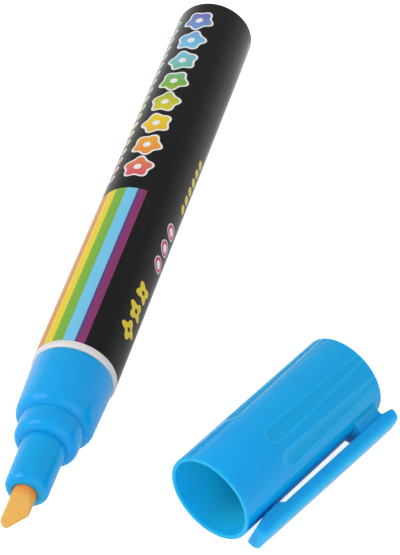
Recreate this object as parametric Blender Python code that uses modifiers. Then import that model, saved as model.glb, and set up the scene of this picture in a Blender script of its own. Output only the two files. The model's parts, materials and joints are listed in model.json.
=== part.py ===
"""Valve-action liquid marker with its cap taken off.

Units are metres and +Z is up. The marker lies along X with its nib towards -X, and the lowest facet of
its printed sleeve touches the origin. The cap lies beside the nose, with its clip on the far side.

Turned pieces are drawn as (radius, height) outlines. On the marker the height runs from the sleeve's front
edge towards the tail, and on the cap from the mouth towards the closed end.
"""
import math

import bmesh
import bpy
from mathutils import Matrix, Vector

MM = 0.001

# Gaps between pieces
SNUG = 0.06 * MM       # pressed together
RUNNING = 0.08 * MM    # sliding on each other
SEAT = 0.30 * MM       # resting against each other

# Facets round the turned pieces, points on a quarter of a rounded edge, and points taken as one
SEGMENTS = 48
ROUND_POINTS = 5
MERGE_DISTANCE = 0.001 * MM

# Barrel and the printed sleeve round it
BARREL_DIAMETER = 16.0 * MM      # over the sleeve
PRINTED_LENGTH = 103.3 * MM
SLEEVE_THICKNESS = 0.20 * MM
BARREL_WALL = 1.20 * MM
TAIL_WALL = 1.60 * MM
TAIL_ROUNDING = 0.80 * MM
RIM_LENGTH = 1.50 * MM           # bare rim ahead of the print
RIM_CHAMFER = 0.30 * MM
RIM_CHAMFER_LENGTH = 0.50 * MM

# Front section: collar, step and nozzle
COLLAR_SETBACK = 0.325 * MM      # from the sleeve's surface to the collar's back
COLLAR_TAPER = 0.45 * MM         # radius lost from the collar's back to its front
COLLAR_LENGTH = 12.70 * MM
COLLAR_ROUNDING = 2.00 * MM
STEP_DIAMETER = 11.75 * MM
STEP_LENGTH = 5.10 * MM
STEP_ROUNDING = 1.90 * MM
NOZZLE_BACK_DIAMETER = 8.15 * MM
NOZZLE_FRONT_DIAMETER = 7.90 * MM
NOZZLE_LENGTH = 11.10 * MM
NOZZLE_ROUNDING = 1.40 * MM
SHOULDER_WALL = 1.80 * MM        # between the collar's front and the valve
GALLERY_DIAMETER = 6.00 * MM     # ink space round the nib
NIB_GUIDE_LENGTH = 4.00 * MM     # close bore at the nozzle's mouth

# Nib
NIB_DIAMETER = 4.30 * MM
NIB_REACH = 8.15 * MM            # out of the nozzle
NIB_SLANT = 3.25 * MM            # how much shorter one side of the chisel is
NIB_EDGE = 0.55 * MM             # thickness left at the edge
NIB_BEVEL_LENGTH = 4.00 * MM     # from the edge up to the rod's round
NIB_CORNER_LENGTH = 1.10 * MM    # corner worn off the chisel's long side, along the nib
NIB_CORNER_WIDTH = 1.40 * MM     # and across it
NIB_ROLL = math.radians(-6.5)
PRESS_TRAVEL = 2.00 * MM
PRESS_MARGIN = 0.50 * MM         # left between nib and valve at full travel

# Valve
VALVE_DIAMETER = 10.40 * MM
VALVE_LENGTH = 20.00 * MM
VALVE_WALL = 1.00 * MM
VALVE_FRONT_WALL = 1.50 * MM
PORT_DIAMETER = 3.00 * MM
STEM_DIAMETER = 2.00 * MM
HEAD_DIAMETER = 5.40 * MM
HEAD_THICKNESS = 1.60 * MM
CAGE_THICKNESS = 2.00 * MM
FLOW_HOLES = 4
FLOW_HOLE_DIAMETER = 1.30 * MM
SPRING_DIAMETER = 3.80 * MM      # mean
SPRING_WIRE = 0.50 * MM
SPRING_TURNS = 7
SPRING_POINTS_PER_TURN = 12

# Mixing ball
BALL_DIAMETER = 6.00 * MM
BALL_PLACE = 46.0 * MM           # behind the sleeve's front edge
BALL_SEGMENTS = 24
BALL_RINGS = 14

# Cap: it slides over the collar until it meets the barrel, with the nib just short of its closed end
CAP_CLEARANCE = 0.05 * MM
CAP_WALL = 0.80 * MM
CAP_END_WALL = 0.75 * MM
CAP_TIP_ROOM = 0.20 * MM
CAP_MOUTH_ROUNDING = 0.25 * MM
BEAD_PLACE = 6.50 * MM           # snap bead in the bore, from the mouth
BEAD_HEIGHT = 0.15 * MM
BEAD_WIDTH = 0.80 * MM
SEAL_WALL = 0.80 * MM
SEAL_LENGTH = 13.0 * MM
SEAL_FLANGE = 1.00 * MM

# Flutes: three on each side of the clip, deepest at their round front ends
FLUTE_RADIUS = 5.00 * MM
FLUTE_DEPTH = 0.35 * MM
FLUTE_END_DEPTH = 0.05 * MM
FLUTE_START = 11.5 * MM          # from the mouth
FLUTE_ANGLES_DEG = (52.0, 86.0, 149.0)   # from the clip, both ways

# Clip
CLIP_BELOW = math.radians(21.0)  # under the horizontal, as the cap lies
CLIP_WIDTH = 5.50 * MM
CLIP_THICKNESS = 2.44 * MM       # at the mouth
CLIP_GAP = 0.97 * MM             # between cap and bar, at the mouth
CLIP_LEAN = math.radians(0.51)   # the bar spreads from the cap towards the closed end
CLIP_TAPER = math.radians(0.43)  # and grows thicker
CLIP_TIP = 0.60 * MM             # behind the mouth
CLIP_OVERHANG = 0.45 * MM        # past the closed end
CLIP_NOSE_LENGTH = 1.20 * MM     # sloped outer corner at the top
CLIP_NOSE_DEPTH = 0.40 * MM
CLIP_ROUNDING = 0.50 * MM
CLIP_ROUND_SEGMENTS = 2
CLIP_SHARP_ANGLE = math.radians(60.0)    # edges sharper than this are rounded
FOOT_START = 4.10 * MM
FOOT_LENGTH = 3.55 * MM
FOOT_RAMP = 1.00 * MM
FOOT_GAP = 0.20 * MM
WEB_SETBACK = 1.87 * MM          # from the closed end
WEB_LENGTH = 7.60 * MM
WEB_WIDTH = 2.40 * MM

# Where the cap lies: its mouth from the sleeve's front edge, and the turn of its axis from the marker's
CAP_MOUTH_X = -24.26 * MM
CAP_MOUTH_Y = -31.18 * MM
CAP_TURN = math.radians(-25.1)
CAP_NIB_GAP = 3.00 * MM          # left when the cap is swung round in front of the nib

# Heights along the marker
front_face = -RIM_LENGTH
collar_back = front_face - SNUG
collar_front = collar_back - COLLAR_LENGTH
step_front = collar_front - STEP_LENGTH
nozzle_front = step_front - NOZZLE_LENGTH
nib_tip = nozzle_front - NIB_REACH
valve_front = collar_front + SHOULDER_WALL + SNUG
valve_seat = valve_front + VALVE_FRONT_WALL
valve_back = valve_front + VALVE_LENGTH
cage_front = valve_back - CAGE_THICKNESS
nib_back = valve_front - PRESS_TRAVEL - PRESS_MARGIN
head_front = valve_seat + SNUG
head_back = head_front + HEAD_THICKNESS

# Radii
sleeve_r = BARREL_DIAMETER / 2
barrel_r = sleeve_r - SLEEVE_THICKNESS - SNUG
bore_r = barrel_r - BARREL_WALL
spigot_r = bore_r - SNUG
collar_back_r = sleeve_r - COLLAR_SETBACK
collar_front_r = collar_back_r - COLLAR_TAPER
nib_r = NIB_DIAMETER / 2
valve_r = VALVE_DIAMETER / 2
valve_bore_r = valve_r - VALVE_WALL
stem_r = STEM_DIAMETER / 2
spring_r = SPRING_DIAMETER / 2
wire_r = SPRING_WIRE / 2
ball_r = BALL_DIAMETER / 2

# Cap sizes, from the nose that it covers
cap_bore_r = collar_back_r + CAP_CLEARANCE
cap_r = cap_bore_r + CAP_WALL
cap_depth = front_face - nib_tip + CAP_TIP_ROOM
cap_length = cap_depth + CAP_END_WALL
seal_bore_r = NOZZLE_BACK_DIAMETER / 2 + RUNNING
web_back = cap_length - WEB_SETBACK

# Places in the world
facet_turn = math.pi / SEGMENTS
axis_height = sleeve_r * math.cos(facet_turn)
sleeve_front = Vector((-PRINTED_LENGTH / 2, 0.0, axis_height))
cap_mouth = sleeve_front + Vector((CAP_MOUTH_X, CAP_MOUTH_Y, cap_r - axis_height))


def clip_face(height):
    """Radius of the clip bar's inner face at a height along the cap."""
    return cap_r + CLIP_GAP + height * math.tan(CLIP_LEAN)


def clip_outer(height):
    """Radius of the clip bar's outer face at a height along the cap."""
    return clip_face(height) + CLIP_THICKNESS + height * math.tan(CLIP_TAPER)


def clip_angle():
    """Angle of the clip below the horizontal, at most where the bar's lower outer edge meets the table."""
    reach = clip_outer(cap_length)
    half_width = CLIP_WIDTH / 2
    rim = math.hypot(reach, half_width)
    touching = math.asin(cap_r / rim) - math.atan2(half_width, reach)
    return min(CLIP_BELOW, touching)


def cap_rotation():
    """Cap frame: Z from the mouth to the closed end, X out through the clip."""
    roll = clip_angle() - math.pi / 2
    turn = Matrix.Rotation(CAP_TURN, 3, "Z") @ Matrix.Rotation(math.pi / 2, 3, "Y")
    return turn @ Matrix.Rotation(roll, 3, "Z")


def swing_axis():
    """Point about which one turn brings the cap from where it lies to in front of the nib."""
    target = complex(sleeve_front.x + nib_tip - CAP_NIB_GAP, 0.0)
    start = complex(cap_mouth.x, cap_mouth.y)
    angle = -math.pi - CAP_TURN
    turn = complex(math.cos(angle), math.sin(angle))
    pole = (target - turn * start) / (1 - turn)
    return Vector((pole.real, pole.imag, 0.0))


def new_collection(name):
    collection = bpy.data.collections.new(name)
    bpy.context.scene.collection.children.link(collection)
    return collection


def finish_material(name, color, roughness, metallic=0.0):
    material = bpy.data.materials.new(name)
    material.use_nodes = True
    shader = material.node_tree.nodes["Principled BSDF"]
    shader.inputs["Base Color"].default_value = (*color, 1.0)
    shader.inputs["Roughness"].default_value = roughness
    shader.inputs["Metallic"].default_value = metallic
    return material


def empty(name, location, rotation=None):
    holder = bpy.data.objects.new(name, None)
    holder.location = location
    if rotation is not None:
        holder.rotation_euler = rotation.to_euler()
    parts.objects.link(holder)
    return holder


def place(name, data, parent, location=(0.0, 0.0, 0.0), rotation=(0.0, 0.0, 0.0), material=None):
    """Put mesh or curve data into the scene as a named piece."""
    piece = bpy.data.objects.new(name, data)
    piece.parent = parent
    piece.location = location
    piece.rotation_euler = rotation
    if material is not None:
        data.materials.append(material)
    parts.objects.link(piece)
    return piece


def make_cutter(piece):
    """Turn a piece into a cutter that is left out of the finished object."""
    parts.objects.unlink(piece)
    cutters.objects.link(piece)
    piece.hide_render = True
    piece.display_type = "WIRE"
    return piece


def cut(piece, cutter, operation="DIFFERENCE"):
    boolean = piece.modifiers.new(cutter.name, "BOOLEAN")
    boolean.operation = operation
    boolean.object = cutter


def quarter_round(center_r, center_h, radius, start_deg):
    """Points of a quarter circle in an outline, turning clockwise from the start angle."""
    points = []
    for step in range(ROUND_POINTS):
        angle = math.radians(start_deg - 90.0 * step / (ROUND_POINTS - 1))
        points.append((center_r + radius * math.cos(angle), center_h + radius * math.sin(angle)))
    return points


def rounded_shoulder(outer_r, front, radius, inner_r):
    """Points of a shoulder's rounded front edge, in as far as the smaller round that stands on it."""
    center_r = outer_r - radius
    reach = max(0.0, (inner_r - center_r) / radius)
    sweep = math.acos(reach)
    points = []
    for step in range(ROUND_POINTS):
        angle = sweep * step / (ROUND_POINTS - 1)
        points.append((center_r + radius * math.cos(angle), front + radius - radius * math.sin(angle)))
    if reach == 0.0:
        points.append((inner_r, front))
    return points


def turned(name, outline, parent, material=None, closed=True, location=(0.0, 0.0, 0.0)):
    """Turn an outline about Z. It runs down its outer side; an open one starts and ends on the axis."""
    count = len(outline)
    edges = [(i, (i + 1) % count) for i in range(count if closed else count - 1)]
    mesh = bpy.data.meshes.new(name)
    mesh.from_pydata([(r, 0.0, h) for r, h in outline], edges, [])
    piece = place(name, mesh, parent, location, (0.0, 0.0, facet_turn), material)
    screw = piece.modifiers.new("turn", "SCREW")
    screw.steps = SEGMENTS
    screw.render_steps = SEGMENTS
    screw.use_merge_vertices = True
    screw.merge_threshold = MERGE_DISTANCE
    return piece


def rod(name, radius, bottom, top, parent, material=None):
    outline = [(0.0, top), (radius, top), (radius, bottom), (0.0, bottom)]
    return turned(name, outline, parent, material, closed=False)


def plane_cutter(name, point, normal, parent, size):
    """A block whose face lies on a plane and whose body lies on the normal's side."""
    mesh = bpy.data.meshes.new(name)
    shape = bmesh.new()
    bmesh.ops.create_cube(shape, size=size)
    shape.to_mesh(mesh)
    shape.free()
    normal = Vector(normal).normalized()
    turn = normal.to_track_quat("Z", "Y").to_euler()
    center = Vector(point) + normal * size / 2
    return make_cutter(place(name, mesh, parent, center, turn))


def plate(name, outline, width, parent, location, rotation, material=None):
    """A flat outline with a thickness, as a closed mesh."""
    curve = bpy.data.curves.new(name + "_outline", "CURVE")
    curve.dimensions = "2D"
    curve.fill_mode = "BOTH"
    curve.extrude = width / 2
    spline = curve.splines.new("POLY")
    spline.points.add(len(outline) - 1)
    for point, (x, y) in zip(spline.points, outline):
        point.co = (x, y, 0.0, 1.0)
    spline.use_cyclic_u = True
    guide = place(name + "_outline", curve, parent)
    depsgraph = bpy.context.evaluated_depsgraph_get()
    mesh = bpy.data.meshes.new_from_object(guide.evaluated_get(depsgraph))
    bpy.data.objects.remove(guide)
    shape = bmesh.new()
    shape.from_mesh(mesh)
    bmesh.ops.remove_doubles(shape, verts=shape.verts, dist=MERGE_DISTANCE)
    bmesh.ops.recalc_face_normals(shape, faces=shape.faces)
    shape.to_mesh(mesh)
    shape.free()
    mesh.name = name
    return place(name, mesh, parent, location, rotation, material)


def build_barrel(axis):
    """White tube, closed at the tail, with a rim as thick as the sleeve at its mouth."""
    tail_flat_r = sleeve_r - TAIL_ROUNDING - SNUG
    under_film = SLEEVE_THICKNESS + SNUG
    inner_round = TAIL_ROUNDING - under_film
    outline = [(0.0, PRINTED_LENGTH), (tail_flat_r, PRINTED_LENGTH)]
    outline += [(tail_flat_r, PRINTED_LENGTH - under_film)]
    outline += quarter_round(sleeve_r - TAIL_ROUNDING, PRINTED_LENGTH - TAIL_ROUNDING, inner_round, 90.0)
    outline += [
        (barrel_r, -SNUG),
        (sleeve_r, -SNUG),
        (sleeve_r, front_face + RIM_CHAMFER_LENGTH),
        (sleeve_r - RIM_CHAMFER, front_face),
        (bore_r, front_face),
        (bore_r, PRINTED_LENGTH - TAIL_WALL),
        (0.0, PRINTED_LENGTH - TAIL_WALL),
    ]
    turned("barrel", outline, axis, white_plastic, closed=False)


def build_sleeve(axis):
    """Printed film round the barrel, drawn over the tail's rounded edge."""
    center_r = sleeve_r - TAIL_ROUNDING
    center_h = PRINTED_LENGTH - TAIL_ROUNDING
    outer = quarter_round(center_r, center_h, TAIL_ROUNDING, 90.0) + [(sleeve_r, 0.0)]
    inner = quarter_round(center_r, center_h, TAIL_ROUNDING - SLEEVE_THICKNESS, 90.0)
    inner += [(sleeve_r - SLEEVE_THICKNESS, 0.0)]
    turned("printed_sleeve", outer + inner[::-1], axis, black_film)


def build_front_section(axis):
    """Blue stepped nose with the valve's bore at its back and the nib's guide at its front."""
    step_r = STEP_DIAMETER / 2
    nozzle_r = NOZZLE_FRONT_DIAMETER / 2
    nozzle_back_r = NOZZLE_BACK_DIAMETER / 2
    gallery_r = GALLERY_DIAMETER / 2
    guide_r = nib_r + RUNNING
    valve_hole_r = valve_r + SNUG
    shoulder = collar_front + SHOULDER_WALL
    outline = [
        (spigot_r, valve_back),
        (spigot_r, collar_back),
        (collar_back_r, collar_back),
    ]
    outline += rounded_shoulder(collar_front_r, collar_front, COLLAR_ROUNDING, step_r)
    outline += rounded_shoulder(step_r, step_front, STEP_ROUNDING, nozzle_back_r)
    outline += rounded_shoulder(nozzle_r, nozzle_front, NOZZLE_ROUNDING, guide_r)
    outline += [
        (guide_r, nozzle_front + NIB_GUIDE_LENGTH),
        (gallery_r, nozzle_front + NIB_GUIDE_LENGTH),
        (gallery_r, shoulder),
        (valve_hole_r, shoulder),
        (valve_hole_r, valve_back),
    ]
    turned("front_section", outline, axis, blue_plastic)


def build_nib(axis):
    """Fibre rod with a chisel tip: two flats closing on a slanted edge, with one corner worn off."""
    nib = rod("nib", nib_r, nib_tip, nib_back, axis, nib_fibre)
    size = 4 * NIB_BEVEL_LENGTH
    around = Matrix.Rotation(NIB_ROLL, 3, "Z")
    peak = nib_r - NIB_CORNER_WIDTH
    off_edge = Vector((0.0, -NIB_SLANT, NIB_CORNER_WIDTH - NIB_DIAMETER)).normalized()
    flat_run = nib_r - NIB_EDGE / 2
    for side, label in ((1, "lower"), (-1, "upper")):
        point = around @ Vector((side * NIB_EDGE / 2, peak, nib_tip))
        normal = around @ (Vector((side * NIB_BEVEL_LENGTH, 0.0, 0.0)) + flat_run * off_edge)
        cut(nib, plane_cutter(f"nib_{label}_flat", point, normal, axis, size))
    tip = around @ Vector((0.0, peak, nib_tip))
    cut(nib, plane_cutter("nib_slant", tip, around @ off_edge, axis, size))
    worn = around @ Vector((0.0, NIB_CORNER_LENGTH, -NIB_CORNER_WIDTH))
    cut(nib, plane_cutter("nib_corner", tip, worn, axis, size))


def build_valve(axis):
    """Cup with the seat, stem that closes it, spring behind the stem and cage at the back."""
    port_r = PORT_DIAMETER / 2
    body = [
        (valve_r, valve_back),
        (valve_r, valve_front),
        (port_r, valve_front),
        (port_r, valve_seat),
        (valve_bore_r, valve_seat),
        (valve_bore_r, valve_back),
    ]
    turned("valve_body", body, axis, clear_plastic)
    head_r = HEAD_DIAMETER / 2
    stem = [
        (0.0, cage_front + CAGE_THICKNESS / 2),
        (stem_r, cage_front + CAGE_THICKNESS / 2),
        (stem_r, head_back),
        (head_r, head_back),
        (head_r, head_front),
        (stem_r, head_front),
        (stem_r, nib_back + SEAT),
        (0.0, nib_back + SEAT),
    ]
    turned("valve_stem", stem, axis, valve_plastic, closed=False)
    build_cage(axis)
    build_spring(axis)


def build_cage(axis):
    """Disc that closes the cup: it guides the stem, carries the spring and lets ink through its holes."""
    cage_r = valve_bore_r - SNUG
    guide_r = stem_r + RUNNING
    ring = [(cage_r, valve_back), (cage_r, cage_front), (guide_r, cage_front), (guide_r, valve_back)]
    cage = turned("valve_cage", ring, axis, valve_plastic)
    pitch_r = (spring_r + wire_r + cage_r) / 2
    for index in range(FLOW_HOLES):
        angle = 2 * math.pi * index / FLOW_HOLES
        name = f"flow_hole_{index + 1}"
        drill = make_cutter(rod(name, FLOW_HOLE_DIAMETER / 2, cage_front - SEAT, valve_back + SEAT, axis))
        drill.location = (pitch_r * math.cos(angle), pitch_r * math.sin(angle), 0.0)
        cut(cage, drill)


def build_spring(axis):
    """Coil between the stem's head and the cage."""
    start = head_back + SEAT + wire_r
    end = cage_front - SEAT - wire_r
    count = SPRING_TURNS * SPRING_POINTS_PER_TURN + 1
    curve = bpy.data.curves.new("valve_spring", "CURVE")
    curve.dimensions = "3D"
    curve.bevel_depth = wire_r
    curve.bevel_resolution = 1
    curve.use_fill_caps = True
    spline = curve.splines.new("POLY")
    spline.points.add(count - 1)
    for index, point in enumerate(spline.points):
        angle = 2 * math.pi * index / SPRING_POINTS_PER_TURN
        height = start + (end - start) * index / (count - 1)
        point.co = (spring_r * math.cos(angle), spring_r * math.sin(angle), height, 1.0)
    place("valve_spring", curve, axis, material=steel)


def build_ball(axis):
    """Loose steel ball, lying on the lowest side of the bore."""
    mesh = bpy.data.meshes.new("mixing_ball")
    shape = bmesh.new()
    bmesh.ops.create_uvsphere(shape, u_segments=BALL_SEGMENTS, v_segments=BALL_RINGS, radius=ball_r)
    shape.to_mesh(mesh)
    shape.free()
    mesh.shade_smooth()
    below_axis = bore_r * math.cos(facet_turn) - ball_r - SEAT
    place("mixing_ball", mesh, axis, (below_axis, 0.0, BALL_PLACE), material=steel)


def build_cap(swing):
    """Cap shell with its snap bead and flutes, and the seal sleeve in its closed end."""
    lip = CAP_MOUTH_ROUNDING
    outline = [(0.0, cap_length), (cap_r, cap_length)]
    outline += quarter_round(cap_r - lip, lip, lip, 0.0)
    outline += [
        (cap_bore_r, 0.0),
        (cap_bore_r, BEAD_PLACE - BEAD_WIDTH / 2),
        (cap_bore_r - BEAD_HEIGHT, BEAD_PLACE),
        (cap_bore_r, BEAD_PLACE + BEAD_WIDTH / 2),
        (cap_bore_r, cap_depth),
        (0.0, cap_depth),
    ]
    shell = turned("cap_shell", outline, swing, blue_plastic, closed=False)
    shell.location = cap_mouth - swing.location
    shell.rotation_euler = cap_rotation().to_euler()
    for angle in FLUTE_ANGLES_DEG:
        for side in (-1, 1):
            cut(shell, flute_cutter(side * math.radians(angle), shell))

    seal_r = seal_bore_r + SEAL_WALL
    flange_r = cap_bore_r - SNUG
    top = cap_depth - SNUG
    sleeve = [
        (flange_r, top),
        (flange_r, top - SEAL_FLANGE),
        (seal_r, top - SEAL_FLANGE),
        (seal_r, top - SEAL_LENGTH),
        (seal_bore_r, top - SEAL_LENGTH),
        (seal_bore_r, top),
    ]
    seal = turned("cap_inner_seal", sleeve, swing, valve_plastic)
    seal.location = shell.location
    seal.rotation_euler = shell.rotation_euler
    return shell


def flute_cutter(angle, shell):
    """Round-ended bar that skims the cap, leaning out so that the flute fades towards the closed end."""
    run = cap_length - FLUTE_START
    lean = math.atan((FLUTE_DEPTH - FLUTE_END_DEPTH) / run)
    round_end = math.sqrt(FLUTE_RADIUS ** 2 - (FLUTE_RADIUS - FLUTE_DEPTH) ** 2)
    outline = [(0.0, 2 * run), (FLUTE_RADIUS, 2 * run)]
    outline += quarter_round(0.0, 0.0, FLUTE_RADIUS, 0.0)
    bar = make_cutter(turned(f"flute_{math.degrees(angle):.0f}", outline, shell, closed=False))
    out = cap_r - FLUTE_DEPTH + FLUTE_RADIUS
    bar.location = (out * math.cos(angle), out * math.sin(angle), FLUTE_START + round_end)
    around = Matrix.Rotation(angle, 3, "Z") @ Matrix.Rotation(lean, 3, "Y")
    bar.rotation_euler = around.to_euler()
    return bar


def build_clip(shell):
    """Clip bar with its foot, joined to the cap by a web that is cut to the cap's round."""
    top = cap_length + CLIP_OVERHANG
    foot_end = FOOT_START + FOOT_LENGTH
    nose_start = top - CLIP_NOSE_LENGTH
    hinge = Vector((cap_r, web_back))
    bar = [
        (clip_face(CLIP_TIP), CLIP_TIP),
        (cap_r + FOOT_GAP, FOOT_START),
        (cap_r + FOOT_GAP, foot_end),
        (clip_face(foot_end + FOOT_RAMP), foot_end + FOOT_RAMP),
        (clip_face(top), top),
        (clip_outer(top) - CLIP_NOSE_DEPTH, top),
        (clip_outer(nose_start), nose_start),
        (clip_outer(CLIP_TIP), CLIP_TIP),
    ]
    web_front = web_back - WEB_LENGTH
    web = [
        (cap_r - CAP_WALL / 2, web_front),
        (clip_face(web_front) + CLIP_THICKNESS / 2, web_front),
        (clip_face(web_back) + CLIP_THICKNESS / 2, web_back),
        (cap_r - CAP_WALL / 2, web_back),
    ]
    place_at = (cap_r, 0.0, web_back)
    upright = (math.pi / 2, 0.0, 0.0)
    local_bar = [(r - hinge.x, h - hinge.y) for r, h in bar]
    local_web = [(r - hinge.x, h - hinge.y) for r, h in web]
    clip = plate("clip", local_bar, CLIP_WIDTH, shell, place_at, upright, blue_plastic)
    bevel = clip.modifiers.new("edges", "BEVEL")
    bevel.width = CLIP_ROUNDING
    bevel.segments = CLIP_ROUND_SEGMENTS
    bevel.limit_method = "ANGLE"
    bevel.angle_limit = CLIP_SHARP_ANGLE
    cut(clip, make_cutter(plate("clip_web", local_web, WEB_WIDTH, shell, place_at, upright)), "UNION")
    cut(clip, make_cutter(rod("clip_seat", cap_r + SNUG, -SEAT, cap_length + SEAT, shell)))


for old in list(bpy.data.objects):
    bpy.data.objects.remove(old)

parts = new_collection("marker")
cutters = new_collection("marker_cutters")

white_plastic = finish_material("white_plastic", (0.80, 0.78, 0.79), 0.35)
black_film = finish_material("black_film", (0.012, 0.012, 0.013), 0.30)
blue_plastic = finish_material("blue_plastic", (0.02, 0.27, 0.70), 0.32)
clear_plastic = finish_material("clear_plastic", (0.75, 0.77, 0.78), 0.40)
valve_plastic = finish_material("valve_plastic", (0.70, 0.70, 0.68), 0.45)
nib_fibre = finish_material("nib_fibre", (0.80, 0.43, 0.10), 0.85)
steel = finish_material("steel", (0.60, 0.60, 0.61), 0.25, 1.0)

along_x = Matrix.Rotation(math.pi / 2, 3, "Y")
marker_axis = empty("marker_axis", sleeve_front, along_x)
cap_swing = empty("cap_swing", swing_axis())

build_barrel(marker_axis)
build_sleeve(marker_axis)
build_front_section(marker_axis)
build_nib(marker_axis)
build_valve(marker_axis)
build_ball(marker_axis)
cap_shell = build_cap(cap_swing)
build_clip(cap_shell)
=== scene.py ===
"""Looks of a valve-action liquid marker with its cap taken off, built round its packed CAD frame.

Units are metres and +Z is up. The marker lies along X with its nib towards -X, and the cap lies beside its
nose. Turned pieces are drawn as (radius, height, rounding) corners. On the marker the height runs from the
sleeve's front edge towards the tail, and on the cap from the mouth towards the closed end.
"""
import json
import math

import bmesh
import bpy
from bpy.props import FloatProperty, FloatVectorProperty, IntProperty, PointerProperty
from mathutils import Matrix, Vector


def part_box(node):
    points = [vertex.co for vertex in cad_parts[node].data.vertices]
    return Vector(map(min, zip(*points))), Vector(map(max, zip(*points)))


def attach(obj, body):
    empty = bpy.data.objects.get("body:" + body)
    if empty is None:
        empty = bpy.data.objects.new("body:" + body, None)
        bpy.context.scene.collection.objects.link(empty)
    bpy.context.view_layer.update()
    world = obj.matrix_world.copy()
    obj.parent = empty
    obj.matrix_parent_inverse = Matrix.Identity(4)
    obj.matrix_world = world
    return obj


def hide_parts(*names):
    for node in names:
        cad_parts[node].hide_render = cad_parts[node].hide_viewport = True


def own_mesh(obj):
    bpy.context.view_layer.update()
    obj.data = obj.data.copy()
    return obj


bl_info = {
    "name": "Liquid marker",
    "version": (1, 0, 0),
    "blender": (4, 5, 0),
    "location": "View3D > Sidebar > Marker",
    "description": "Builds the visible pieces of a liquid marker and its cap round their CAD frame",
    "category": "Object",
}

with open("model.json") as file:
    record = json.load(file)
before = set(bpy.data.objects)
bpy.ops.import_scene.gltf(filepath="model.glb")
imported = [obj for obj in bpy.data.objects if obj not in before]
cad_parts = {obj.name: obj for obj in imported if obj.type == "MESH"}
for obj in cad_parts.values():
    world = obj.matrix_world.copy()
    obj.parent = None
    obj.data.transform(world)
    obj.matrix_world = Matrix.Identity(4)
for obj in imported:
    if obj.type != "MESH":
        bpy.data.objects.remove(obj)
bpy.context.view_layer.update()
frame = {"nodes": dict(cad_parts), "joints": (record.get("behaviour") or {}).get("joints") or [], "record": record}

MM = 0.001
PER_MM = 1000.0
ORIGIN = (0.0, 0.0, 0.0)
IN_MM = (PER_MM, PER_MM, PER_MM)
WHITE = (1.0, 1.0, 1.0, 1.0)
MERGE_DISTANCE = 0.001 * MM
ROUND_SEGMENTS = 6
FELT_SEGMENTS = 3
WEB_RINGS = 5
SEAL_FACETS = 96
SHARP_ANGLE = math.radians(38.0)        # steeper edges are shaded as sharp ones
FELT_EDGE_ANGLE = math.radians(25.0)    # steeper edges of the nib are rounded
BAR_EDGE_ANGLE = math.radians(60.0)     # steeper edges of the clip bar are rounded
FACING_CAP = -0.5                       # a normal's X below this faces the cap

# Roundings and gaps as shares of the wall or step that they belong to
EDGE_SHARE = 0.3
FILM_EDGE_SHARE = 0.2
TAIL_SHARE = 0.9
ALMOST_FULL = 0.98    # a rounding of the whole step would fold the outline
SEAL_PLAY = 0.01
SEAM_FADE = 0.5       # share of the film's overlap over which its step fades out

PAINTED_LIGHT = "pale"    # mesh attribute: painted light, where highlights, reflections and light over shade are painted paler
BAR_REFLECTION_START = 0.25    # share of the outer rounding where the bar's painted reflection begins
BAR_REFLECTION_RISE = 0.5      # share of it over which the painted reflection grows

# Places and sizes taken from the frame
sleeve_low, sleeve_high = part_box("printed_sleeve")
barrel_low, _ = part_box("barrel")
nose_low, nose_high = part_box("front_section")
nib_low, nib_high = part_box("nib")
spring_low, spring_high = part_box("valve_spring")
mounts = {mount["name"]: mount for mount in frame["record"]["mounts"]}
joints = {joint["name"]: joint for joint in frame["joints"]}

axis_height = (sleeve_low.z + sleeve_high.z) / 2
sleeve_radius = (sleeve_high.z - sleeve_low.z) / 2
sleeve_length = sleeve_high.x - sleeve_low.x
rim_front = barrel_low.x - sleeve_low.x
nose_back = nose_high.x - sleeve_low.x
nozzle_front = nose_low.x - sleeve_low.x
nib_tip = nib_low.x - sleeve_low.x
nib_back = nib_high.x - sleeve_low.x

marker_place = Matrix.Translation((sleeve_low.x, 0.0, axis_height)) @ Matrix.Rotation(math.pi / 2, 4, "Y")


def cap_placing():
    """Cap frame (Z to the closed end, X out through the clip, origin in the closed end) and its radius."""
    end = Vector(mounts["cap_end"]["pos_m"])
    along = Vector(mounts["cap_end"]["axis"]).normalized()
    out = Vector(joints["clip_flex"]["pos_m"]) - end
    out -= along * out.dot(along)
    turned = Matrix((out.normalized(), along.cross(out.normalized()), along)).transposed()
    return Matrix.Translation(end) @ turned.to_4x4(), out.length


cap_end_place, cap_radius = cap_placing()


def length(name, description, millimetres):
    return FloatProperty(
        name=name, description=description, default=millimetres * MM, min=0.0, precision=5,
        subtype="DISTANCE", unit="LENGTH",
    )


def turn(name, description, degrees):
    return FloatProperty(
        name=name, description=description, default=math.radians(degrees), subtype="ANGLE", unit="ROTATION",
    )


def share(name, description, value):
    return FloatProperty(
        name=name, description=description, default=value, min=0.0, max=1.0, subtype="FACTOR",
    )


def count(name, description, number, least):
    return IntProperty(name=name, description=description, default=number, min=least)


def power(name, description, watts):
    return FloatProperty(name=name, description=description, default=watts, min=0.0, unit="POWER")


def colour(name, description, red, green, blue):
    return FloatVectorProperty(
        name=name, description=description, default=(red, green, blue), size=3, min=0.0, max=1.0,
        subtype="COLOR",
    )


def settings_of(name, kind):
    return PointerProperty(name=name, description=kind.__doc__, type=kind)


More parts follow.
